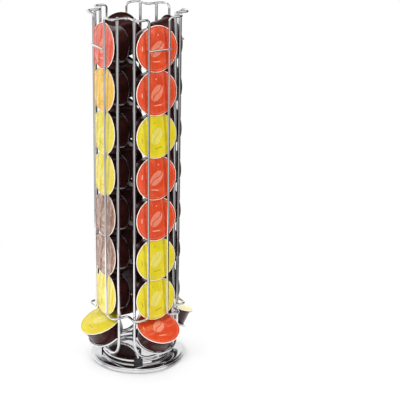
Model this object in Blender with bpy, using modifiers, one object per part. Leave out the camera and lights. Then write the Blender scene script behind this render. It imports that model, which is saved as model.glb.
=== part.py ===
"""Revolving wire rack for coffee capsules: four gravity columns of eight on a turntable base.

Metres, +Z up.  The origin is the centre of the face that the rack rests on.  The front column
faces -Y.  Each column piece is modelled facing -Y and turned about Z to its own column.
"""
import math

import bmesh
import bpy
from mathutils import Vector

MM = 0.001

# Clearance between pieces that touch or are welded together
CLEARANCE = 0.3 * MM

# Wire stock
POST_WIRE_R = 1.8 * MM
GUARD_WIRE_R = 1.45 * MM
RING_WIRE_R = 1.5 * MM
TRAY_WIRE_R = 1.35 * MM
BAR_WIRE_R = 1.2 * MM

# Capsule
FLANGE_R = 27.0 * MM
FLANGE_T = 1.4 * MM
FLANGE_WIDTH = 3.0 * MM
CUP_TOP_R = FLANGE_R - FLANGE_WIDTH
CUP_TAPER = 2.2 * MM
CUP_LOW_R = CUP_TOP_R - CUP_TAPER
CUP_DEPTH = 24.0 * MM
CUP_CORNER_R = 4.0 * MM
CAPSULE_SIDES = 20

# Capsule columns: the cups' rounded bottoms nest between their neighbours' round the middle
STACK_COUNT = 7
CUP_NEST = 0.3 * MM
LID_R = CUP_DEPTH + CUP_LOW_R - CUP_NEST
CAPSULE_TILT = math.radians(4.0)

# Post frames behind the flanges and guard loops in front of them
POST_SET_BACK = 4.5 * MM
POST_R = LID_R - POST_SET_BACK
POST_HALF = FLANGE_R
POST_CORNER_R = 22.0 * MM
GUARD_LEAD = 5.0 * MM
GUARD_R = LID_R + GUARD_LEAD
GUARD_HALF = 13.3 * MM
LOOP_RISE = 35.6 * MM
LOOP_DROP = 22.5 * MM
LOOP_CORNER_R = 4.5 * MM
WAVE_DIP = 11.0 * MM
WAVE_REACH_SHARE = 1.4
BAR_OVERHANG = 0.4 * MM
WAVE_STEPS = 20

# Tray loops, and the capsules that lie in them
TRAY_CAPSULE_TILT = math.radians(66.0)
TRAY_LEAD = 6.7 * MM
TRAY_LID_R = LID_R + TRAY_LEAD
TRAY_RISE = 19.8 * MM
TRAY_LEG_DROP = 17.0 * MM
TRAY_GRIP_TURN = math.radians(30.0)
TRAY_STEPS = 14
TIP_AXIS_INSET = 17.5 * MM
TIP_AXIS_R = LID_R - TIP_AXIS_INSET
TIP_AXIS_DROP = 6.0 * MM

# Turntable base
PAD_T = 1.6 * MM
PAD_INNER_R = 20.0 * MM
PAD_OUTER_R = 42.0 * MM
FOOT_T = 1.0 * MM
FOOT_R = 44.0 * MM
GLIDE_INNER_R = 20.0 * MM
GLIDE_OUTER_R = 32.0 * MM
GLIDE_T = 3.0 * MM
DISH_WALL = 0.9 * MM
DISH_BRIM = 15.6 * MM
DISH_SHOULDER = 8.0 * MM
DISH_SKIRT_Z = 1.0 * MM
DISH_SKIRT_H = 1.4 * MM
DISH_SIDES = 64
RIVET_R = 3.0 * MM
RIVET_HEAD_R = 5.6 * MM
RIVET_HEAD_T = 1.5 * MM
RIVET_TAIL_R = 6.0 * MM
RIVET_TAIL_T = 1.0 * MM

# Base ring and the clips that hold it to the dish
RING_LEAD = 1.4 * MM
RING_R = POST_R + RING_LEAD
DISH_R = RING_R + DISH_BRIM
RING_STEPS = 44
CLIP_LENGTH = 11.0 * MM
CLIP_WIDTH = 5.2 * MM
CLIP_WALL = 0.8 * MM
CLIP_ROUNDING = 0.7 * MM
CLIP_TURN = math.radians(17.0)
PEG_R = 1.5 * MM
PEG_HEAD_R = 2.3 * MM
PEG_HEAD_T = 1.1 * MM

# Heights that follow from the pieces stacked under them
FOOT_Z = PAD_T + CLEARANCE
GLIDE_Z = FOOT_Z + FOOT_T + CLEARANCE
DISH_TOP_Z = GLIDE_Z + GLIDE_T + CLEARANCE + DISH_WALL
BORE_R = RING_WIRE_R + CLEARANCE
RING_Z = DISH_TOP_Z + CLEARANCE + CLIP_WALL + BORE_R
POST_LOW_Z = RING_Z + RING_WIRE_R + CLEARANCE + POST_WIRE_R

# The cup's side leans in from the flange to the start of its bottom corner
CORNER_DEPTH = CUP_DEPTH - CUP_CORNER_R
CUP_LEAN_SHARE = (CUP_TOP_R - CUP_LOW_R) / (CORNER_DEPTH - FLANGE_T)

# The tray capsules hang over the dish, and the lowest stacked cup stands on each one's inner rim
TRAY_LID_Z = DISH_TOP_Z + TRAY_RISE + CUP_DEPTH * math.sin(TRAY_CAPSULE_TILT)
TRAY_LID_Z += CUP_LOW_R * math.cos(TRAY_CAPSULE_TILT)
TRAY_LEG_Z = TRAY_LID_Z - TRAY_LEG_DROP
TIP_AXIS_Z = TRAY_LID_Z - TIP_AXIS_DROP
RIM_BEHIND = LID_R - TRAY_LID_R + FLANGE_R * math.sin(TRAY_CAPSULE_TILT)
LOWEST_LID_Z = TRAY_LID_Z + FLANGE_R * math.cos(TRAY_CAPSULE_TILT) + CLEARANCE
LOWEST_LID_Z += RIM_BEHIND * math.tan(CAPSULE_TILT) + CUP_TOP_R
LOWEST_LID_Z -= (RIM_BEHIND / math.cos(CAPSULE_TILT) - FLANGE_T) * CUP_LEAN_SHARE

# Each stacked capsule stands on the flange of the one below it
STACK_PITCH = (FLANGE_R + CUP_TOP_R) * math.cos(CAPSULE_TILT) + FLANGE_R * math.sin(CAPSULE_TILT) ** 2
STACK_PITCH += CLEARANCE
TOP_LID_Z = LOWEST_LID_Z + (STACK_COUNT - 1) * STACK_PITCH
LOOP_TOP_Z = TOP_LID_Z + LOOP_RISE
LOOP_LOW_Z = LOWEST_LID_Z - LOOP_DROP
POST_TOP_Z = LOOP_TOP_Z + GUARD_WIRE_R

COLUMNS = {"front": 0, "left": -90, "rear": 180, "right": 90}
GAPS = {"front_left": -45, "rear_left": -135, "rear_right": 135, "front_right": 45}

FOILS = {
    "red": (0.72, 0.055, 0.02),
    "amber": (0.78, 0.30, 0.02),
    "yellow": (0.80, 0.64, 0.02),
    "brown": (0.26, 0.10, 0.05),
}

# Foil colours from the top capsule down to the one in the tray
COLUMN_FOILS = {
    "front": ("red", "red", "yellow", "red", "red", "yellow", "yellow", "red"),
    "left": ("red", "amber", "yellow", "yellow", "brown", "brown", "yellow", "yellow"),
    "rear": ("amber", "yellow", "red", "brown", "yellow", "amber", "red", "amber"),
    "right": ("yellow", "red", "amber", "yellow", "red", "brown", "yellow", "yellow"),
}


def clear_scene():
    for old in list(bpy.data.objects):
        bpy.data.objects.remove(old, do_unlink=True)


def new_collection(name):
    collection = bpy.data.collections.new(name)
    bpy.context.scene.collection.children.link(collection)
    return collection


def material(name, colour, metallic, roughness):
    """Return a plain Principled BSDF material."""
    finish = bpy.data.materials.new(name)
    finish.use_nodes = True
    shader = finish.node_tree.nodes["Principled BSDF"]
    shader.inputs["Base Color"].default_value = (*colour, 1)
    shader.inputs["Metallic"].default_value = metallic
    shader.inputs["Roughness"].default_value = roughness
    finish.diffuse_color = (*colour, 1)
    return finish


def new_object(name, data, collection, parent=None):
    piece = bpy.data.objects.new(name, data)
    collection.objects.link(piece)
    piece.parent = parent
    return piece


def own_material(piece, colour, metallic, roughness):
    """Give one object a material of its own, held by the object and not by its shared data."""
    if not piece.data.materials:
        piece.data.materials.append(None)
    piece.material_slots[0].link = "OBJECT"
    piece.material_slots[0].material = material(piece.name, colour, metallic, roughness)


def chrome(piece):
    own_material(piece, (0.80, 0.80, 0.82), 1.0, 0.12)


def black_plastic(piece):
    own_material(piece, (0.02, 0.02, 0.022), 0.0, 0.45)


def empty(name, collection, parent=None, location=(0, 0, 0), turn=0):
    marker = bpy.data.objects.new(name, None)
    marker.empty_display_size = FLANGE_R
    marker.location = location
    marker.rotation_euler.z = turn
    collection.objects.link(marker)
    marker.parent = parent
    return marker


def bent_wire(name, points, radius, closed=False):
    """Return curve data for a round wire along the points."""
    curve = bpy.data.curves.new(name, "CURVE")
    curve.dimensions = "3D"
    curve.bevel_depth = radius
    curve.bevel_resolution = 2
    curve.use_fill_caps = True
    spline = curve.splines.new("POLY")
    spline.points.add(len(points) - 1)
    for knot, place in zip(spline.points, points):
        knot.co = (*place, 1)
    spline.use_cyclic_u = closed
    spline.use_smooth = True
    return curve


def profile_mesh(name, profile, closed):
    """Return a mesh that holds a turned piece's profile in the XZ plane."""
    mesh = bpy.data.meshes.new(name)
    edges = [(i, i + 1) for i in range(len(profile) - 1)]
    if closed:
        edges.append((len(profile) - 1, 0))
    mesh.from_pydata([(r, 0, z) for r, z in profile], edges, [])
    return mesh


def turn(piece, sides):
    """Turn the object's profile about Z."""
    screw = piece.modifiers.new("turn", "SCREW")
    screw.axis = "Z"
    screw.steps = sides
    screw.render_steps = sides
    screw.use_merge_vertices = True
    screw.merge_threshold = 0.01 * MM
    screw.use_smooth_shade = False
    return screw


def arc(centre, radius, start, stop, steps):
    """Return points (a, b) along an arc, angles in degrees."""
    points = []
    for i in range(steps + 1):
        angle = math.radians(start + (stop - start) * i / steps)
        points.append((centre[0] + radius * math.cos(angle), centre[1] + radius * math.sin(angle)))
    return points


def washer_profile(inner, outer, low, thickness):
    """Return the closed section of a flat ring, running down its outer side."""
    high = low + thickness
    return [(inner, high), (outer, high), (outer, low), (inner, low)]


def add_foot(parts):
    """The fixed foot: rubber pad, steel plate, glide ring and the pivot rivet."""
    pad = new_object("foot_pad", profile_mesh("foot_pad", washer_profile(
        PAD_INNER_R, PAD_OUTER_R, 0, PAD_T), True), parts)
    turn(pad, DISH_SIDES // 2)
    own_material(pad, (0.015, 0.015, 0.015), 0.0, 0.85)

    plate = new_object("foot_plate", profile_mesh("foot_plate", washer_profile(
        RIVET_R + CLEARANCE, FOOT_R, FOOT_Z, FOOT_T), True), parts)
    turn(plate, DISH_SIDES // 2)
    own_material(plate, (0.55, 0.55, 0.56), 1.0, 0.4)

    glide = new_object("turntable_glide_ring", profile_mesh("turntable_glide_ring", washer_profile(
        GLIDE_INNER_R, GLIDE_OUTER_R, GLIDE_Z, GLIDE_T), True), parts)
    turn(glide, DISH_SIDES // 2)
    own_material(glide, (0.75, 0.75, 0.72), 0.0, 0.5)

    head_z = DISH_TOP_Z + CLEARANCE
    tail_z = FOOT_Z - CLEARANCE
    crown = head_z + RIVET_HEAD_T
    profile = [
        (0, crown),
        (RIVET_R, crown - CLEARANCE),
        (RIVET_HEAD_R, head_z + CLEARANCE),
        (RIVET_HEAD_R, head_z),
        (RIVET_R, head_z),
        (RIVET_R, tail_z),
        (RIVET_TAIL_R, tail_z),
        (RIVET_TAIL_R, tail_z - RIVET_TAIL_T),
        (0, tail_z - RIVET_TAIL_T),
    ]
    rivet = new_object("pivot_rivet", profile_mesh("pivot_rivet", profile, False), parts)
    turn(rivet, DISH_SIDES // 4)
    own_material(rivet, (0.75, 0.75, 0.77), 1.0, 0.2)


def add_dish(parts, cutters, turntable):
    """The pressed dish that turns on the foot, with a hole for each clip's peg."""
    flat_r = DISH_R - DISH_SHOULDER
    skirt_top = DISH_SKIRT_Z + DISH_SKIRT_H
    drop = DISH_TOP_Z - skirt_top
    profile = [(RIVET_R + CLEARANCE, DISH_TOP_Z)]
    for across, down in arc((0, 0), 1, 90, 0, 7):
        profile.append((flat_r + DISH_SHOULDER * across, skirt_top + drop * down))
    profile.append((DISH_R, DISH_SKIRT_Z))
    dish = new_object("base_dish", profile_mesh("base_dish", profile, False), parts, turntable)
    turn(dish, DISH_SIDES)
    wall = dish.modifiers.new("wall", "SOLIDIFY")
    wall.thickness = DISH_WALL
    wall.offset = -1
    wall.use_even_offset = True

    drill = bpy.data.meshes.new("peg_holes")
    holes = bmesh.new()
    for angle in GAPS.values():
        around = math.radians(angle) + CLIP_TURN
        made = bmesh.ops.create_cone(
            holes, cap_ends=True, segments=12, radius1=PEG_R + CLEARANCE,
            radius2=PEG_R + CLEARANCE, depth=DISH_TOP_Z)
        middle = (RING_R * math.sin(around), -RING_R * math.cos(around), DISH_TOP_Z)
        bmesh.ops.translate(holes, verts=made["verts"], vec=middle)
    holes.to_mesh(drill)
    holes.free()
    cutter = new_object("peg_holes", drill, cutters)
    cutter.hide_render = True
    cutter.display_type = "WIRE"
    cut = dish.modifiers.new("peg holes", "BOOLEAN")
    cut.operation = "DIFFERENCE"
    cut.object = cutter
    chrome(dish)


def clip_mesh(cutters):
    """Return the mesh of one clip: a block bored for the ring, on a snap peg, at the -Y side."""
    height = 2 * (BORE_R + CLIP_WALL)
    block = bmesh.new()
    bmesh.ops.create_cube(block, size=1)
    bmesh.ops.scale(block, verts=block.verts, vec=(CLIP_LENGTH, CLIP_WIDTH, height))
    bmesh.ops.translate(block, verts=block.verts, vec=(0, -RING_R, RING_Z))
    upper = [e for e in block.edges if min(v.co.z for v in e.verts) > RING_Z]
    bmesh.ops.bevel(block, geom=upper, offset=CLIP_ROUNDING, offset_type="OFFSET", segments=2,
                    profile=0.5, affect="EDGES", material=-1)
    mesh = bpy.data.meshes.new("clip_block")
    block.to_mesh(mesh)
    block.free()
    clip = new_object("clip_block", mesh, cutters)

    foot = RING_Z - BORE_R - CLIP_WALL
    head = DISH_TOP_Z - DISH_WALL - CLEARANCE
    profile = [
        (0, foot + CLIP_WALL / 2),
        (PEG_R, foot + CLIP_WALL / 2),
        (PEG_R, head),
        (PEG_HEAD_R, head),
        (PEG_R, head - PEG_HEAD_T),
        (0, head - PEG_HEAD_T),
    ]
    peg = new_object("clip_peg", profile_mesh("clip_peg", profile, False), cutters)
    peg.location.y = -RING_R
    turn(peg, 12)
    join = clip.modifiers.new("peg", "BOOLEAN")
    join.operation = "UNION"
    join.object = peg

    bpy.ops.mesh.primitive_torus_add(major_radius=RING_R, minor_radius=BORE_R,
                                     major_segments=DISH_SIDES, minor_segments=10)
    bore = bpy.context.object
    bore.name = "clip_bore"
    bore.location.z = RING_Z
    for home in list(bore.users_collection):
        home.objects.unlink(bore)
    cutters.objects.link(bore)
    cut = clip.modifiers.new("bore", "BOOLEAN")
    cut.operation = "DIFFERENCE"
    cut.object = bore

    bpy.context.view_layer.update()
    made = bpy.data.meshes.new_from_object(clip.evaluated_get(bpy.context.evaluated_depsgraph_get()))
    made.name = "ring_clip"
    for used in (clip, peg, bore):
        bpy.data.objects.remove(used, do_unlink=True)
    return made


def add_base_ring(parts, cutters, turntable):
    """The wire ring under the columns, and four clips that hold it to the dish."""
    points = [(x, y, RING_Z) for x, y in arc((0, 0), RING_R, 0, 360, RING_STEPS)[:-1]]
    ring = new_object("base_ring", bent_wire("base_ring", points, RING_WIRE_R, True), parts, turntable)
    chrome(ring)
    mesh = clip_mesh(cutters)
    for name, angle in GAPS.items():
        clip = new_object("ring_clip_" + name, mesh, parts, turntable)
        clip.rotation_euler.z = math.radians(angle) + CLIP_TURN
        black_plastic(clip)


def post_frame_points():
    """Two upright posts and the rounded foot that joins them, in one plane."""
    corner = POST_HALF - POST_CORNER_R
    bend = POST_LOW_Z + POST_CORNER_R
    flat = [(-POST_HALF, POST_TOP_Z)]
    flat += arc((-corner, bend), POST_CORNER_R, 180, 270, 6)
    flat += arc((corner, bend), POST_CORNER_R, 270, 360, 6)
    flat.append((POST_HALF, POST_TOP_Z))
    return [(across, -POST_R, height) for across, height in flat]


def wave(across, post_across, post_reach, leg_across, leg_reach):
    """Reach of the loop's cross wire: round the outside of both posts, dipping in between them."""
    crest_across = post_across * WAVE_REACH_SHARE
    lift = (1 - math.cos(math.pi / WAVE_REACH_SHARE)) / 2
    crest = post_reach + WAVE_DIP * (1 - lift)
    side = abs(across)
    if side <= crest_across:
        return crest - WAVE_DIP * (1 + math.cos(math.pi * side / crest_across)) / 2
    fall = (side - crest_across) / (leg_across - crest_across)
    return crest - (crest - leg_reach) * (1 - math.cos(math.pi / 2 * fall))


def guard_loop_points():
    """One closed wire round a gap: a guard leg on each neighbour column, waved cross wires."""
    slant = math.sqrt(0.5)
    leg_reach = (GUARD_R + GUARD_HALF) * slant
    leg_across = (GUARD_R - GUARD_HALF) * slant
    post_reach = (POST_R + POST_HALF) * slant
    post_across = (POST_R - POST_HALF) * slant
    touch = POST_WIRE_R + GUARD_WIRE_R + CLEARANCE
    steepness = WAVE_DIP * math.pi / (2 * post_across * WAVE_REACH_SHARE)
    touch_reach = post_reach + touch * math.hypot(1, steepness)
    measures = (post_across, touch_reach, leg_across, leg_reach)

    def cross_wire(height):
        start = leg_across - LOOP_CORNER_R * slant
        row = []
        for i in range(WAVE_STEPS + 1):
            across = start - 2 * start * i / WAVE_STEPS
            row.append((across, -wave(across, *measures), height))
        return row

    def corner(side, height, into):
        """Points from the upright leg into the cross wire."""
        inward_x = -side * slant
        inward_y = -slant
        row = []
        for swing in (0, 30, 60):
            out = LOOP_CORNER_R * (1 - math.cos(math.radians(swing)))
            rise = LOOP_CORNER_R * (1 - math.sin(math.radians(swing)))
            row.append((side * leg_across + inward_x * out, -leg_reach + inward_y * out,
                        height - into * rise))
        return row

    points = corner(1, LOOP_TOP_Z, 1)
    points += cross_wire(LOOP_TOP_Z)
    points += reversed(corner(-1, LOOP_TOP_Z, 1))
    points += corner(-1, LOOP_LOW_Z, -1)
    points += reversed(cross_wire(LOOP_LOW_Z))
    points += reversed(corner(1, LOOP_LOW_Z, -1))
    return points


def tray_loop_points():
    """A wire from post to post that goes under the front of the tray cup's rounded bottom corner."""
    grip = CUP_CORNER_R + TRAY_WIRE_R + CLEARANCE
    depth = CORNER_DEPTH + grip * math.sin(TRAY_GRIP_TURN)
    radius = CUP_LOW_R - CUP_CORNER_R + grip * math.cos(TRAY_GRIP_TURN)
    front = TRAY_LID_R - depth * math.cos(TRAY_CAPSULE_TILT) + radius * math.sin(TRAY_CAPSULE_TILT)
    front_z = TRAY_LID_Z - depth * math.sin(TRAY_CAPSULE_TILT) - radius * math.cos(TRAY_CAPSULE_TILT)
    weld = POST_R + POST_WIRE_R + CLEARANCE
    start = weld + TRAY_WIRE_R
    half = POST_HALF - TRAY_WIRE_R / 2
    points = [(-half, -weld, TRAY_LEG_Z)]
    for i in range(TRAY_STEPS + 1):
        swing = math.pi * (i / TRAY_STEPS - 0.5)
        share = math.cos(swing)
        points.append((half * math.sin(swing), -(start + (front - start) * share),
                       TRAY_LEG_Z + (front_z - TRAY_LEG_Z) * share))
    points.append((half, -weld, TRAY_LEG_Z))
    return points


def add_wires(parts, turntable):
    """Post frames, tray loops and guard bars on each column, guard loops round each gap."""
    posts = bent_wire("post_frame", post_frame_points(), POST_WIRE_R)
    tray = bent_wire("tray_loop", tray_loop_points(), TRAY_WIRE_R)
    bar_reach = GUARD_R + GUARD_WIRE_R + CLEARANCE + BAR_WIRE_R
    bar_half = GUARD_HALF + GUARD_WIRE_R + BAR_OVERHANG
    bar_ends = [(-bar_half, -bar_reach, TOP_LID_Z), (bar_half, -bar_reach, TOP_LID_Z)]
    bar = bent_wire("guard_bar", bar_ends, BAR_WIRE_R)
    for name, angle in COLUMNS.items():
        for kind, data in (("post_frame_", posts), ("tray_loop_", tray), ("guard_bar_", bar)):
            piece = new_object(kind + name, data, parts, turntable)
            piece.rotation_euler.z = math.radians(angle)
            chrome(piece)
    loop = bent_wire("guard_loop", guard_loop_points(), GUARD_WIRE_R, True)
    for name, angle in GAPS.items():
        piece = new_object("guard_loop_" + name, loop, parts, turntable)
        piece.rotation_euler.z = math.radians(angle)
        chrome(piece)


def capsule_mesh():
    """Return a capsule with its foil lid at z = 0, facing +Z."""
    corner_r = CUP_LOW_R - CUP_CORNER_R
    profile = [
        (0, 0),
        (FLANGE_R, 0),
        (FLANGE_R, -FLANGE_T),
        (CUP_TOP_R, -FLANGE_T),
    ]
    for across, down in arc((0, 0), 1, 0, -90, 2):
        profile.append((corner_r + CUP_CORNER_R * across, -CORNER_DEPTH + CUP_CORNER_R * down))
    profile.append((0, -CUP_DEPTH))
    holder = bpy.data.objects.new("capsule_blank", profile_mesh("capsule_blank", profile, False))
    bpy.context.scene.collection.objects.link(holder)
    turn(holder, CAPSULE_SIDES)
    bpy.context.view_layer.update()
    graph = bpy.context.evaluated_depsgraph_get()
    mesh = bpy.data.meshes.new_from_object(holder.evaluated_get(graph))
    mesh.name = "capsule"
    bpy.data.objects.remove(holder, do_unlink=True)
    mesh.materials.clear()
    mesh.materials.append(None)
    mesh.materials.append(material("capsule_cup", (0.035, 0.016, 0.012), 0.0, 0.3))
    for face in mesh.polygons:
        face.material_index = 0 if face.center.z > -FLANGE_T / 4 else 1
    return mesh


def add_capsules(parts, turntable):
    """Eight capsules a column: one on top, six stacked under it, one tilted in the tray."""
    mesh = capsule_mesh()
    for name, angle in COLUMNS.items():
        column = empty("column_" + name, parts, turntable, turn=math.radians(angle))
        stack = empty("stack_" + name, parts, column)
        top = empty("top_" + name, parts, stack)
        tip = empty("tip_axis_" + name, parts, column, (0, -TIP_AXIS_R, TIP_AXIS_Z))
        for number, foil in enumerate(COLUMN_FOILS[name], 1):
            in_tray = number > STACK_COUNT
            home = tip if in_tray else (top if number == 1 else stack)
            piece = new_object("capsule_%s_%d" % (name, number), mesh, parts, home)
            if in_tray:
                place = Vector((0, -TRAY_LID_R, TRAY_LID_Z)) - home.location
                lean = TRAY_CAPSULE_TILT
            else:
                place = Vector((0, -LID_R, TOP_LID_Z - (number - 1) * STACK_PITCH))
                lean = CAPSULE_TILT
            piece.location = place
            piece.rotation_euler.x = math.pi / 2 - lean
            own_material(piece, FOILS[foil], 0.6, 0.35)


clear_scene()
rack_parts = new_collection("capsule_dispenser")
rack_cutters = new_collection("cutters")
turntable_pivot = empty("turntable_pivot", rack_parts)
add_foot(rack_parts)
add_dish(rack_parts, rack_cutters, turntable_pivot)
add_base_ring(rack_parts, rack_cutters, turntable_pivot)
add_wires(rack_parts, turntable_pivot)
add_capsules(rack_parts, turntable_pivot)
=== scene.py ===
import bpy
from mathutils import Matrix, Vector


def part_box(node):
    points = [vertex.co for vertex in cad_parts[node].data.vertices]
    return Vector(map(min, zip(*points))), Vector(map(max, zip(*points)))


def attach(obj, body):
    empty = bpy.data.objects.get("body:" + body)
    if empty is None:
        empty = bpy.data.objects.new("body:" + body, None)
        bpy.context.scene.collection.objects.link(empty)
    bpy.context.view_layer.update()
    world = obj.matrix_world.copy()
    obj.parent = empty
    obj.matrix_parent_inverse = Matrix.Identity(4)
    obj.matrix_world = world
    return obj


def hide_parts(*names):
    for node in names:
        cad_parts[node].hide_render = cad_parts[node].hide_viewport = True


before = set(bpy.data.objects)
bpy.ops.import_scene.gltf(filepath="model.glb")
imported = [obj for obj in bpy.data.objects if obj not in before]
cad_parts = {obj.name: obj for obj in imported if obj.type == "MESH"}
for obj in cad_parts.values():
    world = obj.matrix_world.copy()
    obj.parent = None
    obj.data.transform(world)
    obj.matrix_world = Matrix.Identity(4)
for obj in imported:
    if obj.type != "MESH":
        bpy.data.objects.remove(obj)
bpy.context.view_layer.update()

import math

import bmesh
import bpy
from mathutils import Matrix, Vector, noise


# Camera. A long lens looks at the rack from its front left and from a little above. It points
# straight at the rack, and the frame is shifted, so that the rack stands left in the picture.
QUARTER_TURN = math.pi / 2
CAMERA_PLACE = (-0.7205, -1.278, 0.729)
CAMERA_DROP = math.radians(19.65)
CAMERA_TURN = math.radians(-29.41)
SENSOR_WIDTH = 36.0
LENS_LENGTH = 115.9
FRAME_SHIFT = 0.1567
lens = bpy.data.cameras.new("camera")
lens.sensor_width = SENSOR_WIDTH
lens.lens = LENS_LENGTH
lens.shift_x = FRAME_SHIFT
camera = bpy.data.objects.new("camera", lens)
camera.location = CAMERA_PLACE
camera.rotation_euler = (QUARTER_TURN - CAMERA_DROP, 0, CAMERA_TURN)
bpy.context.scene.collection.objects.link(camera)
bpy.context.scene.camera = camera
bpy.context.scene.view_settings.view_transform = "Standard"


# Post frames. Each column's two uprights are one steel rod, bent round at the foot and welded
# to the ring there. The rod is polished and chromed, with the faintest haze in the plating.
MM = 0.001
COLUMNS = {"front": 0, "left": -90, "rear": 180, "right": 90}
ROD_R = 1.8 * MM
ROD_REACH = 41.0 * MM
ROD_HALF = 27.0 * MM
ROD_BEND = 22.0 * MM
ROD_BEND_STEPS = 14
ROD_TRIM = 0.05 * MM
ROD_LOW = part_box("post_frame_front")[0].z + ROD_R
ROD_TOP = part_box("post_frame_front")[1].z - ROD_TRIM
WIRE_SIDES = 16
WIRE_END_STEPS = 3
WIRE_END_SHARE = 0.5
BEVEL_PROFILE = 0.5
SHARP_FROM = math.radians(45)
CLOUD_SCALE = 45
CLOUD_SPAN = (0.35, 0.70)
HAZE_SCALE = 380
HAZE_SPAN = (0.30, 0.75)
RIPPLE_SCALE = 210
RIPPLE_STRENGTH = 0.06
RIPPLE_DEPTH = 0.4 * MM
WIRE_BRIGHT = (0.78, 0.78, 0.79, 1)
WIRE_DULL = (0.69, 0.69, 0.705, 1)
WIRE_HAZE = (0.04, 0.10)


def new_finish(name):
    """A material with an empty node tree."""
    finish = bpy.data.materials.new(name)
    finish.use_nodes = True
    finish.node_tree.nodes.clear()
    return finish


def put(finish, kind, settings=None, **sockets):
    """Add a node. Settings are its properties, and sockets are values or links by input name."""
    made = finish.node_tree.nodes.new("ShaderNode" + kind)
    for name, value in (settings or {}).items():
        setattr(made, name, value)
    for name, value in sockets.items():
        feed(finish, made.inputs[name.replace("_", " ")], value)
    return made


def feed(finish, socket, value):
    """Link another node's output to a socket, or set the socket to a plain value."""
    if isinstance(value, bpy.types.NodeSocket):
        finish.node_tree.links.new(value, socket)
    else:
        socket.default_value = value


def sum_up(finish, operation, *values):
    """Add a Math node and return its output."""
    made = put(finish, "Math", {"operation": operation})
    for socket, value in zip(made.inputs, values):
        feed(finish, socket, value)
    return made.outputs[0]


def ramp(finish, value, source, target=(0, 1)):
    """Map a value from one span to another, held at both ends."""
    made = put(finish, "MapRange", Value=value, From_Min=source[0], From_Max=source[1],
               To_Min=target[0], To_Max=target[1])
    return made.outputs["Result"]


def blend_colours(finish, share, first, second):
    """Mix two colours by a share. A Mix node's colour inputs are its seventh and eighth."""
    made = put(finish, "Mix", {"data_type": "RGBA"})
    for index, value in ((0, share), (6, first), (7, second)):
        feed(finish, made.inputs[index], value)
    return made.outputs[2]


def grain(finish, where, scale, detail=2.0, roughness=0.5):
    """Add a noise texture and return its value."""
    made = put(finish, "TexNoise", Vector=where, Scale=scale, Detail=detail, Roughness=roughness)
    return made.outputs[0]


def close_up(finish, shader):
    """Join the shader to the material's surface."""
    out = finish.node_tree.nodes.new("ShaderNodeOutputMaterial")
    finish.node_tree.links.new(shader.outputs[0], out.inputs["Surface"])
    return finish


def chrome_plate(name, bright, dull, haze):
    """Chrome plating: a mirror with faint clouds of haze and the ripple of the steel under it."""
    finish = new_finish(name)
    where = put(finish, "TexCoord").outputs["Object"]
    clouds = ramp(finish, grain(finish, where, CLOUD_SCALE, detail=3), CLOUD_SPAN)
    colour = blend_colours(finish, clouds, bright, dull)
    mist = ramp(finish, grain(finish, where, HAZE_SCALE, detail=4, roughness=0.6), HAZE_SPAN, haze)
    ripple = put(finish, "Bump", Strength=RIPPLE_STRENGTH, Distance=RIPPLE_DEPTH,
                 Height=grain(finish, where, RIPPLE_SCALE, detail=3))
    plate = put(finish, "BsdfPrincipled", Base_Color=colour, Metallic=1.0, Roughness=mist,
                Normal=ripple.outputs[0])
    return close_up(finish, plate)


def pull_wire(path, radius, closed=False):
    """Draw a round wire through the points of a path. Open ends are rounded over."""
    wire = bmesh.new()
    spots = [Vector(spot) for spot in path]
    headings = []
    for i, spot in enumerate(spots):
        heading = Vector()
        if i or closed:
            heading += (spot - spots[i - 1]).normalized()
        if i < len(spots) - 1 or closed:
            heading += (spots[(i + 1) % len(spots)] - spot).normalized()
        headings.append(heading.normalized())
    section = bmesh.ops.create_circle(wire, segments=WIRE_SIDES, radius=radius)["verts"]
    aim = Vector((0, 0, 1)).rotation_difference(headings[0]).to_matrix()
    bmesh.ops.rotate(wire, verts=section, cent=(0, 0, 0), matrix=aim)
    bmesh.ops.translate(wire, verts=section, vec=spots[0])
    start = rim = list(wire.edges)
    for i in range(1, len(spots)):
        drawn = bmesh.ops.extrude_edge_only(wire, edges=rim)["geom"]
        section = [part for part in drawn if isinstance(part, bmesh.types.BMVert)]
        rim = [part for part in drawn if isinstance(part, bmesh.types.BMEdge)]
        swing = headings[i - 1].rotation_difference(headings[i]).to_matrix()
        bmesh.ops.rotate(wire, verts=section, cent=spots[i - 1], matrix=swing)
        bmesh.ops.translate(wire, verts=section, vec=spots[i] - spots[i - 1])
    if closed:
        bmesh.ops.bridge_loops(wire, edges=start + rim)
    else:
        for end in (start, rim):
            bmesh.ops.edgeloop_fill(wire, edges=end)
        bmesh.ops.bevel(wire, geom=start + rim, offset=radius * WIRE_END_SHARE,
                        offset_type="OFFSET", segments=WIRE_END_STEPS, profile=BEVEL_PROFILE,
                        affect="EDGES", material=-1)
    bmesh.ops.recalc_face_normals(wire, faces=wire.faces)
    return wire


def place_piece(name, shape, finishes, body, nodes=(), turn=0.0):
    """Turn a shape to its place round the rack, make it an object and fasten it to its body."""
    heading = Matrix.Rotation(math.radians(turn), 3, "Z")
    bmesh.ops.rotate(shape, verts=shape.verts, cent=(0, 0, 0), matrix=heading)
    for face in shape.faces:
        face.smooth = True
    mesh = bpy.data.meshes.new(name)
    shape.to_mesh(mesh)
    shape.free()
    mesh.set_sharp_from_angle(angle=SHARP_FROM)
    for finish in finishes:
        mesh.materials.append(finish)
    piece = bpy.data.objects.new(name, mesh)
    bpy.context.scene.collection.objects.link(piece)
    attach(piece, body)
    if nodes:
        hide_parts(*nodes)


def arc(across, along, radius, start, stop, steps):
    """Points on an arc in a flat bend, with angles in degrees."""
    points = []
    for i in range(steps + 1):
        angle = math.radians(start + (stop - start) * i / steps)
        points.append((across + radius * math.cos(angle), along + radius * math.sin(angle)))
    return points


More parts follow.
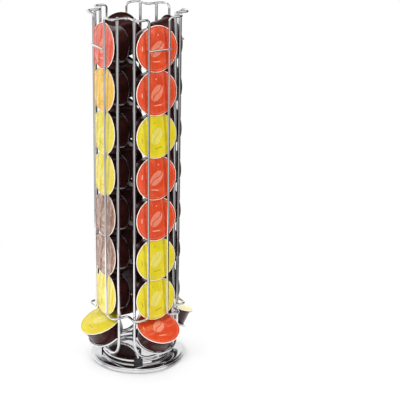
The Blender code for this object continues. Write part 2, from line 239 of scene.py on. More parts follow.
wire_chrome = chrome_plate("wire_chrome", WIRE_BRIGHT, WIRE_DULL, WIRE_HAZE)
flat_half = ROD_HALF - ROD_BEND
rod_line = [(-ROD_HALF, ROD_TOP)]
rod_line += arc(-flat_half, ROD_LOW + ROD_BEND, ROD_BEND, 180, 270, ROD_BEND_STEPS)
rod_line += arc(flat_half, ROD_LOW + ROD_BEND, ROD_BEND, 270, 360, ROD_BEND_STEPS)
rod_line.append((ROD_HALF, ROD_TOP))
for name, turn in COLUMNS.items():
    rod = pull_wire([(across, -ROD_REACH, height) for across, height in rod_line], ROD_R)
    place_piece("post_rod_" + name, rod, [wire_chrome], "turntable",
                ["post_frame_" + name], turn)


# Guard loops. One closed wire goes round each gap between columns. Its legs hold the foil edges
# in, and its waved cross wires pass outside both posts, where they are welded.
GAPS = {"front_left": -45, "rear_left": -135, "rear_right": 135, "front_right": 45}
CLEARANCE = 0.3 * MM
GUARD_R = 1.45 * MM
GUARD_REACH = 50.5 * MM
GUARD_HALF = 13.3 * MM
GUARD_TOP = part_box("guard_loop_front_left")[1].z - GUARD_R
GUARD_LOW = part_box("guard_loop_front_left")[0].z + GUARD_R
GUARD_BEND = 4.5 * MM
GUARD_SWINGS = (0, 15, 30, 45, 60, 75)
WAVE_DIP = 11.0 * MM
WAVE_REACH = 1.4
WAVE_STEPS = 44
SLANT = math.sqrt(0.5)
leg_reach = (GUARD_REACH + GUARD_HALF) * SLANT
leg_across = (GUARD_REACH - GUARD_HALF) * SLANT
post_reach = (ROD_REACH + ROD_HALF) * SLANT
post_across = (ROD_REACH - ROD_HALF) * SLANT
crest_across = post_across * WAVE_REACH
wave_slope = WAVE_DIP * math.pi / (2 * crest_across)
weld_gap = ROD_R + GUARD_R + CLEARANCE
crest = post_reach + weld_gap * math.hypot(1, wave_slope)
crest += WAVE_DIP * (1 + math.cos(math.pi / WAVE_REACH)) / 2


def wave_reach(across):
    """How far out the cross wire runs: outside both posts, dipping in between them."""
    side = abs(across)
    if side <= crest_across:
        return crest - WAVE_DIP * (1 + math.cos(math.pi * side / crest_across)) / 2
    fall = (side - crest_across) / (leg_across - crest_across)
    return crest - (crest - leg_reach) * (1 - math.cos(QUARTER_TURN * fall))


def half_loop(height, into):
    """The loop's corner, cross wire and other corner at one height."""
    row = []
    edge = leg_across - GUARD_BEND * SLANT
    for side, swings in ((1, GUARD_SWINGS), (-1, GUARD_SWINGS[::-1])):
        if side < 0:
            for i in range(WAVE_STEPS + 1):
                across = edge - 2 * edge * i / WAVE_STEPS
                row.append((across, -wave_reach(across), height))
        for swing in swings:
            out = GUARD_BEND * (1 - math.cos(math.radians(swing))) * SLANT
            rise = GUARD_BEND * (1 - math.sin(math.radians(swing)))
            row.append((side * (leg_across - out), -leg_reach - out, height - into * rise))
    return row


for name, turn in GAPS.items():
    upper = half_loop(GUARD_TOP, 1)
    lower = half_loop(GUARD_LOW, -1)
    loop = pull_wire(upper + lower[::-1], GUARD_R, closed=True)
    place_piece("guard_wire_" + name, loop, [wire_chrome], "turntable",
                ["guard_loop_" + name], turn)


# Tray loops. A lighter wire leaves one post, dips round the front of the lowest cup and comes
# back to the other post. The cup sits in it with its lid tipped towards the hand.
LOOP_R = 1.35 * MM
LOOP_STEPS = 32
LIP_R = 27.0 * MM
CUP_DEPTH = 24.0 * MM
CUP_LOW_R = 21.8 * MM
CUP_CORNER = 4.0 * MM
TRAY_TILT = math.radians(66)
TRAY_REACH = 52.2 * MM
TRAY_LEG_DROP = 17.0 * MM
GRIP_TURN = math.radians(30)
tray_lid_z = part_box("capsule_front_8")[1].z - LIP_R * math.cos(TRAY_TILT)
tray_leg_z = tray_lid_z - TRAY_LEG_DROP
grip = CUP_CORNER + LOOP_R + CLEARANCE
grip_depth = CUP_DEPTH - CUP_CORNER + grip * math.sin(GRIP_TURN)
grip_r = CUP_LOW_R - CUP_CORNER + grip * math.cos(GRIP_TURN)
tray_front = TRAY_REACH - grip_depth * math.cos(TRAY_TILT) + grip_r * math.sin(TRAY_TILT)
tray_front_z = tray_lid_z - grip_depth * math.sin(TRAY_TILT) - grip_r * math.cos(TRAY_TILT)
tray_weld = ROD_REACH + ROD_R + CLEARANCE
tray_half = ROD_HALF - LOOP_R / 2
tray_line = [(-tray_half, -tray_weld, tray_leg_z)]
for i in range(LOOP_STEPS + 1):
    swing = math.pi * (i / LOOP_STEPS - 0.5)
    share = math.cos(swing)
    out = tray_weld + LOOP_R + (tray_front - tray_weld - LOOP_R) * share
    height = tray_leg_z + (tray_front_z - tray_leg_z) * share
    tray_line.append((tray_half * math.sin(swing), -out, height))
tray_line.append((tray_half, -tray_weld, tray_leg_z))
for name, turn in COLUMNS.items():
    loop = pull_wire(tray_line, LOOP_R)
    place_piece("tray_wire_" + name, loop, [wire_chrome], "turntable",
                ["tray_loop_" + name], turn)


# Guard bars. A short straight wire is welded across the two guard legs in front of each top
# capsule, and stops it from tipping out of the mouth.
BAR_R = 1.2 * MM
bar_low, bar_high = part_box("guard_bar_front")
bar_half = bar_high.x
bar_reach = (bar_low.y + bar_high.y) / 2
bar_z = (bar_low.z + bar_high.z) / 2
for name, turn in COLUMNS.items():
    bar = pull_wire([(-bar_half, bar_reach, bar_z), (bar_half, bar_reach, bar_z)], BAR_R)
    place_piece("guard_cross_" + name, bar, [wire_chrome], "turntable",
                ["guard_bar_" + name], turn)


# Weld beads. Where two wires cross, the spot weld leaves a small smooth bead between them,
# plated over with the rest of the rack.
BEAD_R = 1.3 * MM
BEAD_ROUNDS = 2
BEAD_SHAPE = (1.15, 0.9, 1.0)
TRAY_BEAD_IN = 0.4 * MM
RING_BEAD_ACROSS = 6.0 * MM
RING_BEAD_OUT = 0.7 * MM
RING_BEAD_DROP = 0.1 * MM


def add_beads(name, spots, turn):
    """Small flattened beads at the spots, as one piece."""
    beads = bmesh.new()
    for spot in spots:
        bead = bmesh.ops.create_icosphere(beads, subdivisions=BEAD_ROUNDS, radius=BEAD_R)["verts"]
        bmesh.ops.scale(beads, verts=bead, vec=BEAD_SHAPE)
        bmesh.ops.translate(beads, verts=bead, vec=spot)
    place_piece(name, beads, [wire_chrome], "turntable", turn=turn)


for name, turn in GAPS.items():
    reach = post_reach + ROD_R + CLEARANCE / 2
    spots = []
    for height in (GUARD_TOP, GUARD_LOW):
        for side in (-1, 1):
            spots.append((side * post_across, -reach, height))
    add_beads("loop_welds_" + name, spots, turn)
ring_bead_z = ROD_LOW - ROD_R - RING_BEAD_DROP
for name, turn in COLUMNS.items():
    spots = []
    for side in (-1, 1):
        spots.append((side * tray_half, -tray_weld + TRAY_BEAD_IN, tray_leg_z))
        spots.append((side * GUARD_HALF, -GUARD_REACH - GUARD_R - CLEARANCE / 2, bar_z))
        spots.append((side * RING_BEAD_ACROSS, -ROD_REACH - RING_BEAD_OUT, ring_bead_z))
    add_beads("column_welds_" + name, spots, turn)


# Base ring. All four post frames stand on one ring of rod, welded to its upper side.
# The ring lies on the dish, where the clips hold it.
RING_WIRE_R = 1.5 * MM
RING_STEPS = 128
ring_low, ring_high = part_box("base_ring")
ring_reach = ring_high.x - RING_WIRE_R
ring_z = (ring_low.z + ring_high.z) / 2
ring = bmesh.new()
hoop = bmesh.ops.create_circle(ring, segments=WIRE_SIDES, radius=RING_WIRE_R)["verts"]
upright = Matrix.Rotation(QUARTER_TURN, 3, "X")
bmesh.ops.rotate(ring, verts=hoop, cent=(0, 0, 0), matrix=upright)
bmesh.ops.translate(ring, verts=hoop, vec=(ring_reach, 0, ring_z))
bmesh.ops.spin(ring, geom=ring.verts[:] + ring.edges[:], cent=(0, 0, 0), axis=(0, 0, 1),
               angle=2 * math.pi, steps=RING_STEPS, use_merge=True)
bmesh.ops.recalc_face_normals(ring, faces=ring.faces)
place_piece("foot_ring", ring, [wire_chrome], "turntable", ["base_ring"])


# Dish. It is pressed from one sheet of steel, flat on top, with two fine rings in its rounded
# shoulder and a rolled lower edge. It is plated to a mirror, so the cups and the ring show in it.
DISH_R = 58.0 * MM
DISH_WALL = 0.9 * MM
DISH_BORE = 3.3 * MM
DISH_MIDWAY = 20 * MM
DISH_SIDES = 160
SHOULDER_R = 8.0 * MM
SHOULDER_START = 84
SHOULDER_STEPS = 28
INNER_STEPS = 14
SKIRT = 1.4 * MM
SKIRT_WALL = 1.1 * MM
HEM = 0.5 * MM
HEM_TUCK = 0.3 * MM
HEM_THROAT = 1.3 * MM
DOUBLES = 0.001 * MM
DISH_BRIGHT = (0.76, 0.76, 0.77, 1)
DISH_DULL = (0.69, 0.69, 0.705, 1)
DISH_HAZE = (0.015, 0.045)
# Each ring is how far up the shoulder it runs, as a share of its height, and how deep it is.
GROOVES = ((0.50, 0.45 * MM), (0.09, 0.50 * MM))
GROOVE_HALF = 0.08
dish_low, dish_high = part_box("base_dish")
dish_top = dish_high.z
dish_foot = dish_low.z


def turned(profile, sides, closed=False):
    """Spin a profile of radius and height about the upright axis."""
    shape = bmesh.new()
    knots = [shape.verts.new((radius, 0, height)) for radius, height in profile]
    pairs = list(zip(knots, knots[1:]))
    if closed:
        pairs.append((knots[-1], knots[0]))
    for pair in pairs:
        shape.edges.new(pair)
    bmesh.ops.spin(shape, geom=shape.verts[:] + shape.edges[:], cent=(0, 0, 0), axis=(0, 0, 1),
                   angle=2 * math.pi, steps=sides, use_merge=True)
    bmesh.ops.remove_doubles(shape, verts=shape.verts, dist=DOUBLES)
    bmesh.ops.recalc_face_normals(shape, faces=shape.faces)
    return shape


skirt_top = dish_foot + SKIRT
shoulder_in = DISH_R - SHOULDER_R
outer_rise = dish_top - skirt_top
inner_rise = dish_top - DISH_WALL - skirt_top
inner_r = SHOULDER_R - SKIRT_WALL
outside = [(DISH_BORE, dish_top), (DISH_MIDWAY, dish_top), (shoulder_in, dish_top)]
for across, up in arc(0, 0, 1, SHOULDER_START, 0, SHOULDER_STEPS):
    sink = max(depth * max(0, 1 - abs(up - middle) / GROOVE_HALF) for middle, depth in GROOVES)
    outside.append((shoulder_in + (SHOULDER_R - sink) * across,
                    skirt_top + (outer_rise - sink) * up))
outside += [(DISH_R, dish_foot + HEM), (DISH_R - HEM_TUCK, dish_foot)]
inside = [(DISH_R - SKIRT_WALL, dish_foot), (DISH_R - HEM_THROAT, dish_foot + HEM)]
for across, up in arc(0, 0, 1, 0, SHOULDER_START, INNER_STEPS):
    inside.append((shoulder_in + inner_r * across, skirt_top + inner_rise * up))
inside += [(DISH_MIDWAY, dish_top - DISH_WALL), (DISH_BORE, dish_top - DISH_WALL)]
dish_chrome = chrome_plate("dish_chrome", DISH_BRIGHT, DISH_DULL, DISH_HAZE)
place_piece("mirror_dish", turned(outside + inside, DISH_SIDES, True), [dish_chrome], "turntable",
            ["base_dish"])


# Pivot rivet. Its low domed head shows in the middle of the dish, which turns round its shank.
# It is steel, plated as the dish is, and its tail is closed over under the foot plate. Its
# points are a radius and how far they lie below the crown or above the head's lower side.
CROWN_FALLS = ((0, 0), (1.6 * MM, 0.08 * MM), (3.4 * MM, 0.35 * MM))
BROW_RISES = ((4.9 * MM, 0.75 * MM), (5.6 * MM, 0.25 * MM), (5.5 * MM, 0))
SHANK_R = 3 * MM
TAIL_R = 6 * MM
TAIL_T = 1.0 * MM
RIVET_SIDES = 48
rivet_low, rivet_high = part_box("pivot_rivet")
head_z = dish_top + CLEARANCE
tail_z = rivet_low.z + TAIL_T
rivet = [(radius, rivet_high.z - fall) for radius, fall in CROWN_FALLS]
rivet += [(radius, head_z + rise) for radius, rise in BROW_RISES]
rivet += [(SHANK_R, head_z), (SHANK_R, tail_z), (TAIL_R, tail_z), (TAIL_R, rivet_low.z)]
rivet.append((0, rivet_low.z))
place_piece("pivot_pin", turned(rivet, RIVET_SIDES), [dish_chrome], "foot",
            ["pivot_rivet"])


# Foot and clips. Under the dish are a rubber pad, a steel plate and a plastic glide ring, which
# stay still while the rack turns. Four black plastic clips snap over the ring and hold it down.
SKIN_SPAN = (0.3, 0.7)
SKIN_TO_TINT = 12
SKIN_STRENGTH = 0.35
BRUSH_STRETCH = (1, 40, 1)
BRUSH_SCALE = 120
BRUSH_GLOSS = (0.30, 0.45)
BRUSH_STRENGTH = 0.2
BRUSH_DEPTH = 0.1 * MM
PAD_BLACKS = ((0.022, 0.022, 0.022, 1), (0.014, 0.014, 0.014, 1))
PLATE_GREYS = ((0.56, 0.56, 0.57, 1), (0.47, 0.47, 0.48, 1))
GLIDE_WHITES = ((0.78, 0.78, 0.75, 1), (0.72, 0.72, 0.68, 1))
CLIP_BLACKS = ((0.010, 0.010, 0.011, 1), (0.005, 0.005, 0.006, 1))


def moulded(name, shades, gloss, scale, depth):
    """Moulded rubber or plastic: an even colour with a fine grain to its skin."""
    finish = new_finish(name)
    where = put(finish, "TexCoord").outputs["Object"]
    skin = grain(finish, where, scale, detail=4, roughness=0.6)
    tint = ramp(finish, grain(finish, where, scale / SKIN_TO_TINT), SKIN_SPAN)
    relief = put(finish, "Bump", Strength=SKIN_STRENGTH, Distance=depth, Height=skin)
    body = put(finish, "BsdfPrincipled", Base_Color=blend_colours(finish, tint, *shades),
               Roughness=ramp(finish, skin, SKIN_SPAN, gloss), Normal=relief.outputs[0])
    return close_up(finish, body)


def brushed(name, shades):
    """Plain steel sheet with fine scratches all one way."""
    finish = new_finish(name)
    where = put(finish, "TexCoord").outputs["Object"]
    stretched = put(finish, "Mapping", Vector=where, Scale=BRUSH_STRETCH).outputs[0]
    lines = grain(finish, stretched, BRUSH_SCALE, detail=5, roughness=0.7)
    tint = blend_colours(finish, ramp(finish, lines, SKIN_SPAN), *shades)
    relief = put(finish, "Bump", Strength=BRUSH_STRENGTH, Distance=BRUSH_DEPTH, Height=lines)
    sheet = put(finish, "BsdfPrincipled", Base_Color=tint, Metallic=1.0,
                Roughness=ramp(finish, lines, SKIN_SPAN, BRUSH_GLOSS), Normal=relief.outputs[0])
    return close_up(finish, sheet)


foot_finishes = {
    "foot_pad": moulded("pad_rubber", PAD_BLACKS, (0.65, 0.85), 900, 0.3 * MM),
    "foot_plate": brushed("plate_steel", PLATE_GREYS),
    "turntable_glide_ring": moulded("glide_plastic", GLIDE_WHITES, (0.4, 0.5), 700, 0.1 * MM),
}
clip_plastic = moulded("clip_plastic", CLIP_BLACKS, (0.10, 0.24), 420, 0.8 * MM)
for name in GAPS:
    foot_finishes["ring_clip_" + name] = clip_plastic
for node, finish in foot_finishes.items():
    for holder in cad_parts[node].material_slots:
        holder.material = finish


# Capsules. Each is a glossy dark cup with a rounded foot, a flat rolled lip and a printed foil
# lid sealed to it. The foil is drawn a little tight, with soft creases and a bare cream edge.
CUP_TOP_R = 24.0 * MM
CUP_TOP_DROP = 1.8 * MM
CUP_FLOOR_R = 15.6 * MM
STACK_REACH = 45.5 * MM
STACK_TILT = math.radians(4)
STACK_PITCH = (LIP_R + CUP_TOP_R) * math.cos(STACK_TILT) + LIP_R * math.sin(STACK_TILT) ** 2
STACK_PITCH += CLEARANCE
CAPSULE_SIDES = 72
CORNER_STEPS = 8
CORNER_START = -4
CORNER_STOP = -90
# The outline runs from the lid's middle round the lip and the cup to the floor's middle. Each
# point is a radius and a height in millimetres.
LID_POINTS = ((0, 0), (6, 0), (12, 0), (18, 0), (22.5, 0), (23.6, -0.12), (24.4, 0), (26.05, 0))
LIP_POINTS = ((26.45, -0.04), (26.72, -0.2), (26.8, -0.45), (26.8, -1.1), (26.5, -1.4),
              (24.3, -1.4))
NECK_POINTS = ((23.75, -4), (23.4, -4.35))
DIMPLE_POINTS = ((15.1, -23.3), (6.2, -23.1), (5.6, -23.8), (0, -23.8))
FOIL_R = LID_POINTS[-1][0] * MM
DOME_R = 23 * MM
DOME_RISE = 0.55 * MM
DOME_SKIN = 0.2 * MM
CREASE_RISE = 0.12 * MM
CREASE_SCALE = 90
CREASE_SEED = 3.1
FOIL_SKIN = 0.1 * MM
EDGE_SKIN = 0.35 * MM
top_lid_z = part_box("capsule_front_1")[1].z - LIP_R * math.cos(STACK_TILT)

# The foils' colours are the foil, its deeper shade, its pale print and the ink of the small marks.
# The pale print also colours the painted sheen: pale streaks standing in for light off the foil.
# The last number is how far these painted sheen streaks cover it.
FOILS = {
    "red": ((0.80, 0.070, 0.009, 1), (0.69, 0.048, 0.006, 1), (0.98, 0.52, 0.36, 1),
            (0.98, 0.60, 0.44, 1), 0.12),
    "amber": ((0.88, 0.52, 0.007, 1), (0.79, 0.42, 0.005, 1), (0.97, 0.76, 0.36, 1),
              (0.50, 0.22, 0.02, 1), 0.25),
    "yellow": ((0.82, 0.68, 0.005, 1), (0.73, 0.58, 0.004, 1), (0.92, 0.86, 0.36, 1),
               (0.36, 0.26, 0.015, 1), 0.15),
    "brown": ((0.29, 0.115, 0.055, 1), (0.16, 0.055, 0.024, 1), (0.70, 0.52, 0.42, 1),
              (0.72, 0.54, 0.42, 1), 0.75),
}
COLUMN_FOILS = {
    "front": ("red", "red", "yellow", "red", "red", "yellow", "yellow", "red"),
    "left": ("red", "amber", "yellow", "yellow", "brown", "brown", "yellow", "yellow"),
    "rear": ("amber", "yellow", "red", "brown", "yellow", "amber", "red", "amber"),
    "right": ("yellow", "red", "amber", "yellow", "red", "brown", "yellow", "yellow"),
}
FOIL_CLOUD_SCALE = 70
FOIL_CLOUD_SPAN = (0.35, 0.75)
# Painted sheen: the pale streaks below stand in for light glancing off the crinkled foil.
SHEEN_STREAK_STRETCH = (1.6, 0.7, 1)
SHEEN_STREAK_SCALE = 9
SHEEN_STREAK_SPAN = (0.50, 0.68)
LID_MIDDLE = (0.5, 0.5, 0)
BEAN_TURN = math.radians(-35)
BEAN_HALVES = (0.125, 0.195, 1)
BEAN_EDGE = (0.94, 1.02)
BEAN_SWAY = 0.24
BEAN_SEAM = (0.07, 0.13)
BEAN_COVER = 0.42
RING_AT = 0.44
RING_EDGE = (0.003, 0.010)
RING_COVER = 0.22
# Each mark is where its middle lies across and up the lid, and its half width and half height.
MARKS = ((0.5, 0.235, 0.085, 0.011), (0.5, 0.80, 0.014, 0.014), (0.14, 0.5, 0.010, 0.05))
MARK_EDGE = (0.9, 1.15)
MARK_COVER = 0.7
EMBOSS_SCALE = 58.0
EMBOSS_STRENGTH = 0.12
EMBOSS_DEPTH = 0.2 * MM
CRINKLE_SCALE = 15
CRINKLE_STRENGTH = 0.4
CRINKLE_DEPTH = 0.8 * MM
FOLD_SCALE = 6.5
FOLD_STRENGTH = 0.45
FOLD_DEPTH = 1.5 * MM
FOIL_GLOSS = (0.26, 0.36)
FOIL_METAL = 0.1
LACQUER_ROUGHNESS = 0.06
LACQUER_IOR = 1.8
EDGE_CREAMS = ((0.92, 0.84, 0.76, 1), (0.86, 0.77, 0.68, 1))
CUP_BROWNS = ((0.042, 0.0106, 0.0098, 1), (0.030, 0.0074, 0.0068, 1))
FLOW_SCALE = 90
CUP_GLOSS = (0.14, 0.22)
CUP_SHINE = 0.21
CUP_WAVE_SCALE = 160
CUP_WAVE_STRENGTH = 0.08
CUP_WAVE_DEPTH = 0.3 * MM


def printed_foil(name, colour, deep, pale, ink, painted_sheen):
    """Lacquered foil with a fine emboss, soft creases, a thin pale ring and a plain coffee bean.
    Pale streaks of painted sheen stand in for light glancing off the foil.
    """
    finish = new_finish(name)
    sheet = put(finish, "UVMap", {"uv_map": "lid"}).outputs[0]
    where = put(finish, "TexCoord").outputs["Object"]
    clouds = ramp(finish, grain(finish, where, FOIL_CLOUD_SCALE, detail=3), FOIL_CLOUD_SPAN)
    tint = blend_colours(finish, clouds, colour, deep)
    # Painted sheen: pale streaks, up to each foil's share, stand in for light glancing off the
    # foil.
    sheen_streaks = put(finish, "Mapping", Vector=sheet, Scale=SHEEN_STREAK_STRETCH).outputs[0]
    sheen_streaks = grain(finish, sheen_streaks, SHEEN_STREAK_SCALE, detail=4, roughness=0.65)
    tint = blend_colours(finish, ramp(finish, sheen_streaks, SHEEN_STREAK_SPAN, (0, painted_sheen)), tint, pale)

    bean = put(finish, "Mapping", {"vector_type": "TEXTURE"}, Vector=sheet, Location=LID_MIDDLE,
               Rotation=(0, 0, BEAN_TURN), Scale=BEAN_HALVES).outputs[0]
    edge = put(finish, "VectorMath", {"operation": "LENGTH"}, Vector=bean).outputs["Value"]
    edge = ramp(finish, edge, BEAN_EDGE, (1, 0))
    parts = put(finish, "SeparateXYZ", Vector=bean).outputs
    sway = sum_up(finish, "SINE", sum_up(finish, "MULTIPLY", parts[1], math.pi))
    sway = sum_up(finish, "MULTIPLY", sway, BEAN_SWAY)
    seam = sum_up(finish, "ABSOLUTE", sum_up(finish, "SUBTRACT", parts[0], sway))
    bean_share = sum_up(finish, "MULTIPLY", edge, ramp(finish, seam, BEAN_SEAM))
    bean_share = sum_up(finish, "MULTIPLY", bean_share, BEAN_COVER)
    tint = blend_colours(finish, bean_share, tint, pale)

    middle = put(finish, "VectorMath", {"operation": "DISTANCE"}, Vector=sheet)
    middle.inputs[1].default_value = LID_MIDDLE
    from_ring = sum_up(finish, "SUBTRACT", middle.outputs["Value"], RING_AT)
    from_ring = sum_up(finish, "ABSOLUTE", from_ring)
    tint = blend_colours(finish, ramp(finish, from_ring, RING_EDGE, (RING_COVER, 0)), tint, pale)
    for across, up, half, thick in MARKS:
        mark = put(finish, "Mapping", {"vector_type": "TEXTURE"}, Vector=sheet,
                   Location=(across, up, 0), Scale=(half, thick, 1)).outputs[0]
        mark = put(finish, "VectorMath", {"operation": "ABSOLUTE"}, Vector=mark).outputs[0]
        sides = put(finish, "SeparateXYZ", Vector=mark).outputs
        reach = sum_up(finish, "MAXIMUM", sides[0], sides[1])
        tint = blend_colours(finish, ramp(finish, reach, MARK_EDGE, (MARK_COVER, 0)), tint, ink)

    dots = put(finish, "TexVoronoi", Vector=sheet, Scale=EMBOSS_SCALE).outputs["Distance"]
    crinkle = grain(finish, sheet, CRINKLE_SCALE)
    creases = grain(finish, sheet, FOLD_SCALE, detail=3, roughness=0.55)
    emboss = put(finish, "Bump", Strength=EMBOSS_STRENGTH, Distance=EMBOSS_DEPTH, Height=dots)
    fine = put(finish, "Bump", Strength=CRINKLE_STRENGTH, Distance=CRINKLE_DEPTH,
               Height=crinkle, Normal=emboss.outputs[0])
    folds = put(finish, "Bump", Strength=FOLD_STRENGTH, Distance=FOLD_DEPTH,
                Height=creases, Normal=fine.outputs[0])
    foil = put(finish, "BsdfPrincipled", Base_Color=tint, Metallic=FOIL_METAL,
               Roughness=ramp(finish, creases, SKIN_SPAN, FOIL_GLOSS), Coat_Weight=1.0,
               Coat_Roughness=LACQUER_ROUGHNESS, Coat_IOR=LACQUER_IOR, Normal=folds.outputs[0])
    return close_up(finish, foil)


def cup_plastic(name):
    """Dark brown moulded plastic, glossy, with a faint flow to its colour."""
    finish = new_finish(name)
    where = put(finish, "TexCoord").outputs["Object"]
    flow = grain(finish, where, FLOW_SCALE, detail=3)
    tint = blend_colours(finish, ramp(finish, flow, CLOUD_SPAN), *CUP_BROWNS)
    relief = put(finish, "Bump", Strength=CUP_WAVE_STRENGTH, Distance=CUP_WAVE_DEPTH,
                 Height=grain(finish, where, CUP_WAVE_SCALE))
    cup = put(finish, "BsdfPrincipled", Base_Color=tint,
              Roughness=ramp(finish, flow, SKIN_SPAN, CUP_GLOSS), Specular_IOR_Level=CUP_SHINE,
              Normal=relief.outputs[0])
    return close_up(finish, cup)


foil_finishes = {name: printed_foil("foil_" + name, *colours) for name, colours in FOILS.items()}
foil_edge = moulded("foil_edge", EDGE_CREAMS, (0.3, 0.42), 500, 0.1 * MM)
cup_finish = cup_plastic("capsule_cup")

cup_profile = [(radius * MM, height * MM) for radius, height in LID_POINTS + LIP_POINTS]
cup_profile.append((CUP_TOP_R, -CUP_TOP_DROP))
cup_profile += [(radius * MM, height * MM) for radius, height in NECK_POINTS]
for across, down in arc(0, 0, CUP_CORNER, CORNER_START, CORNER_STOP, CORNER_STEPS):
    cup_profile.append((CUP_LOW_R - CUP_CORNER + across, CUP_CORNER - CUP_DEPTH + down))
cup_profile.append((CUP_FLOOR_R, -CUP_DEPTH))
cup_profile += [(radius * MM, height * MM) for radius, height in DIMPLE_POINTS]


def add_capsule(name, foil, body, turn, reach, height, tilt, spin):
    """One capsule on its side, lid outwards, replacing its solid."""
    capsule = turned(cup_profile, CAPSULE_SIDES)
    lid_map = capsule.loops.layers.uv.new("lid")
    for face in capsule.faces:
        middle = face.calc_center_median()
        if middle.z > -FOIL_SKIN and math.hypot(middle.x, middle.y) < FOIL_R:
            face.material_index = 0
        else:
            face.material_index = 1 if middle.z > -EDGE_SKIN else 2
        for corner in face.loops:
            spot = corner.vert.co
            corner[lid_map].uv = (0.5 + spot.x / (2 * LIP_R), 0.5 + spot.y / (2 * LIP_R))
    for corner in capsule.verts:
        out = math.hypot(corner.co.x, corner.co.y)
        if corner.co.z > -DOME_SKIN and out < DOME_R:
            spot = (corner.co.x * CREASE_SCALE, corner.co.y * CREASE_SCALE, spin * CREASE_SEED)
            rise = DOME_RISE * (1 - (out / DOME_R) ** 2)
            corner.co.z += rise + CREASE_RISE * noise.noise(Vector(spot))
    place = Matrix.Translation((0, -reach, height)) @ Matrix.Rotation(QUARTER_TURN - tilt, 4, "X")
    place = place @ Matrix.Rotation(math.radians(spin), 4, "Z")
    bmesh.ops.transform(capsule, verts=capsule.verts, matrix=place)
    place_piece(name, capsule, [foil_finishes[foil], foil_edge, cup_finish], body,
                [name.replace("pod", "capsule")], turn)


# The capsules lie in the rack as they fell, each turned a few degrees about its own axis.
# The first of a column is the loose top one, and the eighth lies in the tray.
TOP_ONE = 1
TRAY_ONE = 8
SPIN_PER_CAPSULE = 37
SPIN_PER_DEGREE = 7
SPIN_SPREAD = 29
for column, turn in COLUMNS.items():
    for number, foil in enumerate(COLUMN_FOILS[column], TOP_ONE):
        spin = (number * SPIN_PER_CAPSULE + turn * SPIN_PER_DEGREE) % SPIN_SPREAD - SPIN_SPREAD // 2
        label = "pod_%s_%d" % (column, number)
        if number == TRAY_ONE:
            add_capsule(label, foil, "tray_" + column, turn, TRAY_REACH, tray_lid_z, TRAY_TILT,
                        spin)
        else:
            body = ("top_" if number == TOP_ONE else "stack_") + column
            height = top_lid_z - (number - TOP_ONE) * STACK_PITCH
            add_capsule(label, foil, body, turn, STACK_REACH, height, STACK_TILT, spin)


# Table. The rack stands on a round white table that the camera sees fade into plain white. It
# keeps the rack's soft shadow. A dark card lies on its front right, which only mirrors see.
TABLE_R = 0.50
TABLE_SIDES = 96
PAPER_SCALE = 30
PAPER_WHITES = ((0.90, 0.90, 0.90, 1), (0.92, 0.92, 0.92, 1))
WHITE = (1, 1, 1, 1)
FADE_SPAN = (0.10, 0.42)
FADE_SHARES = (0.68, 1)
CONTACT_SPAN = (0.0575, 0.068)
CARD_AIM = (0.64, -0.77, 0)
CARD_SPAN = (0.15, 0.20)
CARD_SHARES = (0, 0.95)


def mix_shaders(finish, share, first, second=None):
    """Mix two shaders by a share. Without a second one the first fades to black."""
    made = put(finish, "MixShader", Fac=share)
    finish.node_tree.links.new(first.outputs[0], made.inputs[1])
    if second:
        finish.node_tree.links.new(second.outputs[0], made.inputs[2])
    return made


def white_floor(name):
    """Matt white paper that the camera sees fade into plain white towards its edge."""
    finish = new_finish(name)
    where = put(finish, "TexCoord").outputs["Object"]
    tint = blend_colours(finish, grain(finish, where, PAPER_SCALE), *PAPER_WHITES)
    paper = put(finish, "BsdfDiffuse", Color=tint)
    plain = put(finish, "Emission", Color=WHITE, Strength=1.0)
    rays = put(finish, "LightPath").outputs
    far = put(finish, "VectorMath", {"operation": "LENGTH"}, Vector=where).outputs["Value"]
    fade = ramp(finish, far, FADE_SPAN, FADE_SHARES)
    fade = sum_up(finish, "MULTIPLY", fade, ramp(finish, far, CONTACT_SPAN))
    fade = sum_up(finish, "MULTIPLY", rays["Is Camera Ray"], fade)
    card = put(finish, "VectorMath", {"operation": "DOT_PRODUCT"}, Vector=where)
    card.inputs[1].default_value = CARD_AIM
    card = ramp(finish, card.outputs["Value"], CARD_SPAN, CARD_SHARES)
    card = sum_up(finish, "MULTIPLY", rays["Is Glossy Ray"], card)
    return close_up(finish, mix_shaders(finish, card, mix_shaders(finish, fade, paper, plain)))


table = bmesh.new()
bmesh.ops.create_circle(table, cap_ends=True, segments=TABLE_SIDES, radius=TABLE_R)
floor_mesh = bpy.data.meshes.new("floor")
table.to_mesh(floor_mesh)
table.free()
floor_mesh.materials.append(white_floor("floor_paper"))
floor = bpy.data.objects.new("floor", floor_mesh)
bpy.context.scene.collection.objects.link(floor)


# Lamps. Large soft boxes light the rack from the front on both sides, from above and, weaker,
# from behind and the right. The chrome doesn't mirror them, but the panels of the room instead.
LAMP_AIM = (0, 0, 0.2)
LAMPS = (
    ("right_key", (0.62, -1.60, 0.90), 0.5, 14),
    ("left_key", (-1.60, -0.62, 0.90), 0.5, 18.5),
    ("overhead", (0.1, 0.3, 2.0), 1.2, 12),
    ("rear_fill", (-0.50, 1.70, 0.90), 0.8, 11),
    ("right_fill", (1.70, 0.50, 0.90), 0.8, 8),
)
for name, spot, size, power in LAMPS:
    lamp = bpy.data.lights.new(name, "AREA")
    lamp.size = size
    lamp.energy = power
    holder = bpy.data.objects.new(name, lamp)
    holder.visible_glossy = False
    holder.location = spot
    holder.rotation_euler = (Vector(LAMP_AIM) - Vector(spot)).to_track_quat("-Z", "Y").to_euler()
    bpy.context.scene.collection.objects.link(holder)


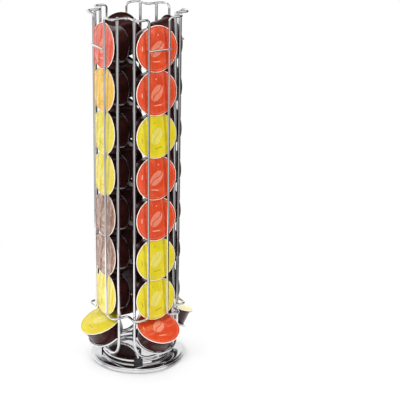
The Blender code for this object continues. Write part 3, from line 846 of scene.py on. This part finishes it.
# Room. The camera sees plain white all round, and matt surfaces an even soft light. Mirrors see
# a studio: a white backdrop, bright panels in front and at the left, and black cards between.
AWAY = (0.491, 0.871)
TOWARDS = (-0.491, -0.871)
BACKDROP_SPAN = (0.45, 0.80)
LEFT_PANEL = (-0.52, 0.85)
LEFT_PANEL_SPAN = (0.72, 0.90)
LEFT_PANEL_LEVELS = (0, 1.35)
BACKDROP_TOP = (0.50, 0.72)
FRONT_SPAN = (-0.20, 0.10)
FRONT_LEVELS = (0, 1.1)
FRONT_BOTTOM = (0.00, 0.12)
GLOW_SPAN = (0.45, 0.85)
GLOW_LEVELS = (0.14, 0.76)
DIM_RISE = (-0.05, 0.50)
DIM_RISE_SHARES = (1, 0.35)
DIM_REAR = (0.0, 0.5)
DIM_REAR_SHARES = (1, 0.3)
BELOW_SPAN = (-0.10, 0.05)
RIGHT_CARD = (0.95, -0.1)
RIGHT_CARD_RISE = 0.25
RIGHT_CARD_SPAN = (0.78, 0.85)
RIGHT_CARD_SHARES = (0, 0.8)
ROOM_LIGHT = 0.55
# Each flag is a bearing, how far to its sides it is full and how far it reaches, all in
# degrees, and how much light it takes away. The bearing turns from the front to the right.
FLAGS = ((5, 10, 16, 0.4), (52, 18, 25, 0.96), (-134, 10, 17, 0.5))
FLAG_LEVEL = math.cos(CAMERA_DROP)
room = bpy.data.worlds.new("room")
room.use_nodes = True
room.node_tree.nodes.clear()
rays = put(room, "LightPath").outputs
heading = put(room, "SeparateXYZ", Vector=put(room, "TexCoord").outputs["Generated"]).outputs


def squarely(direction):
    """How squarely a ray heads along a level direction, which is its parts along X and Y."""
    across = sum_up(room, "MULTIPLY", heading[0], direction[0])
    return sum_up(room, "ADD", across, sum_up(room, "MULTIPLY", heading[1], direction[1]))


def shade(light, share):
    """Take a share of the light away."""
    return sum_up(room, "MULTIPLY", light, sum_up(room, "SUBTRACT", 1.0, share))


backdrop = ramp(room, squarely(AWAY), BACKDROP_SPAN)
left_panel = ramp(room, squarely(LEFT_PANEL), LEFT_PANEL_SPAN, LEFT_PANEL_LEVELS)
backdrop = sum_up(room, "MAXIMUM", backdrop, left_panel)
backdrop = sum_up(room, "MULTIPLY", backdrop, ramp(room, heading[2], BACKDROP_TOP, (1, 0)))
front_panels = ramp(room, squarely(TOWARDS), FRONT_SPAN, FRONT_LEVELS)
front_panels = sum_up(room, "MULTIPLY", front_panels, ramp(room, heading[2], FRONT_BOTTOM))
dim_room = ramp(room, squarely(TOWARDS), GLOW_SPAN, GLOW_LEVELS)
dim_room = sum_up(room, "MULTIPLY", dim_room, ramp(room, heading[2], DIM_RISE, DIM_RISE_SHARES))
dim_room = sum_up(room, "MULTIPLY", dim_room, ramp(room, squarely(AWAY), DIM_REAR, DIM_REAR_SHARES))
studio = sum_up(room, "MAXIMUM", sum_up(room, "MAXIMUM", backdrop, front_panels), dim_room)
below = ramp(room, heading[2], BELOW_SPAN, (1, 0))
right_card = sum_up(room, "MULTIPLY", heading[2], RIGHT_CARD_RISE)
right_card = sum_up(room, "ADD", squarely(RIGHT_CARD), right_card)
right_card = ramp(room, right_card, RIGHT_CARD_SPAN, RIGHT_CARD_SHARES)
studio = shade(studio, shade(right_card, below))
for bearing, near, far, depth in FLAGS:
    aim = (math.sin(math.radians(bearing)), -math.cos(math.radians(bearing)))
    edges = (FLAG_LEVEL * math.cos(math.radians(far)), FLAG_LEVEL * math.cos(math.radians(near)))
    flag = ramp(room, squarely(aim), edges, (0, depth))
    studio = shade(studio, sum_up(room, "MULTIPLY", flag, below))
around = put(room, "Background", Color=WHITE, Strength=ROOM_LIGHT)
mirrored = put(room, "Background", Color=WHITE, Strength=studio)
shown = put(room, "Background", Color=WHITE, Strength=1.0)
lit = mix_shaders(room, rays["Is Glossy Ray"], around, mirrored)
lit = mix_shaders(room, rays["Is Camera Ray"], lit, shown)
sky = room.node_tree.nodes.new("ShaderNodeOutputWorld")
room.node_tree.links.new(lit.outputs[0], sky.inputs["Surface"])
bpy.context.scene.world = room
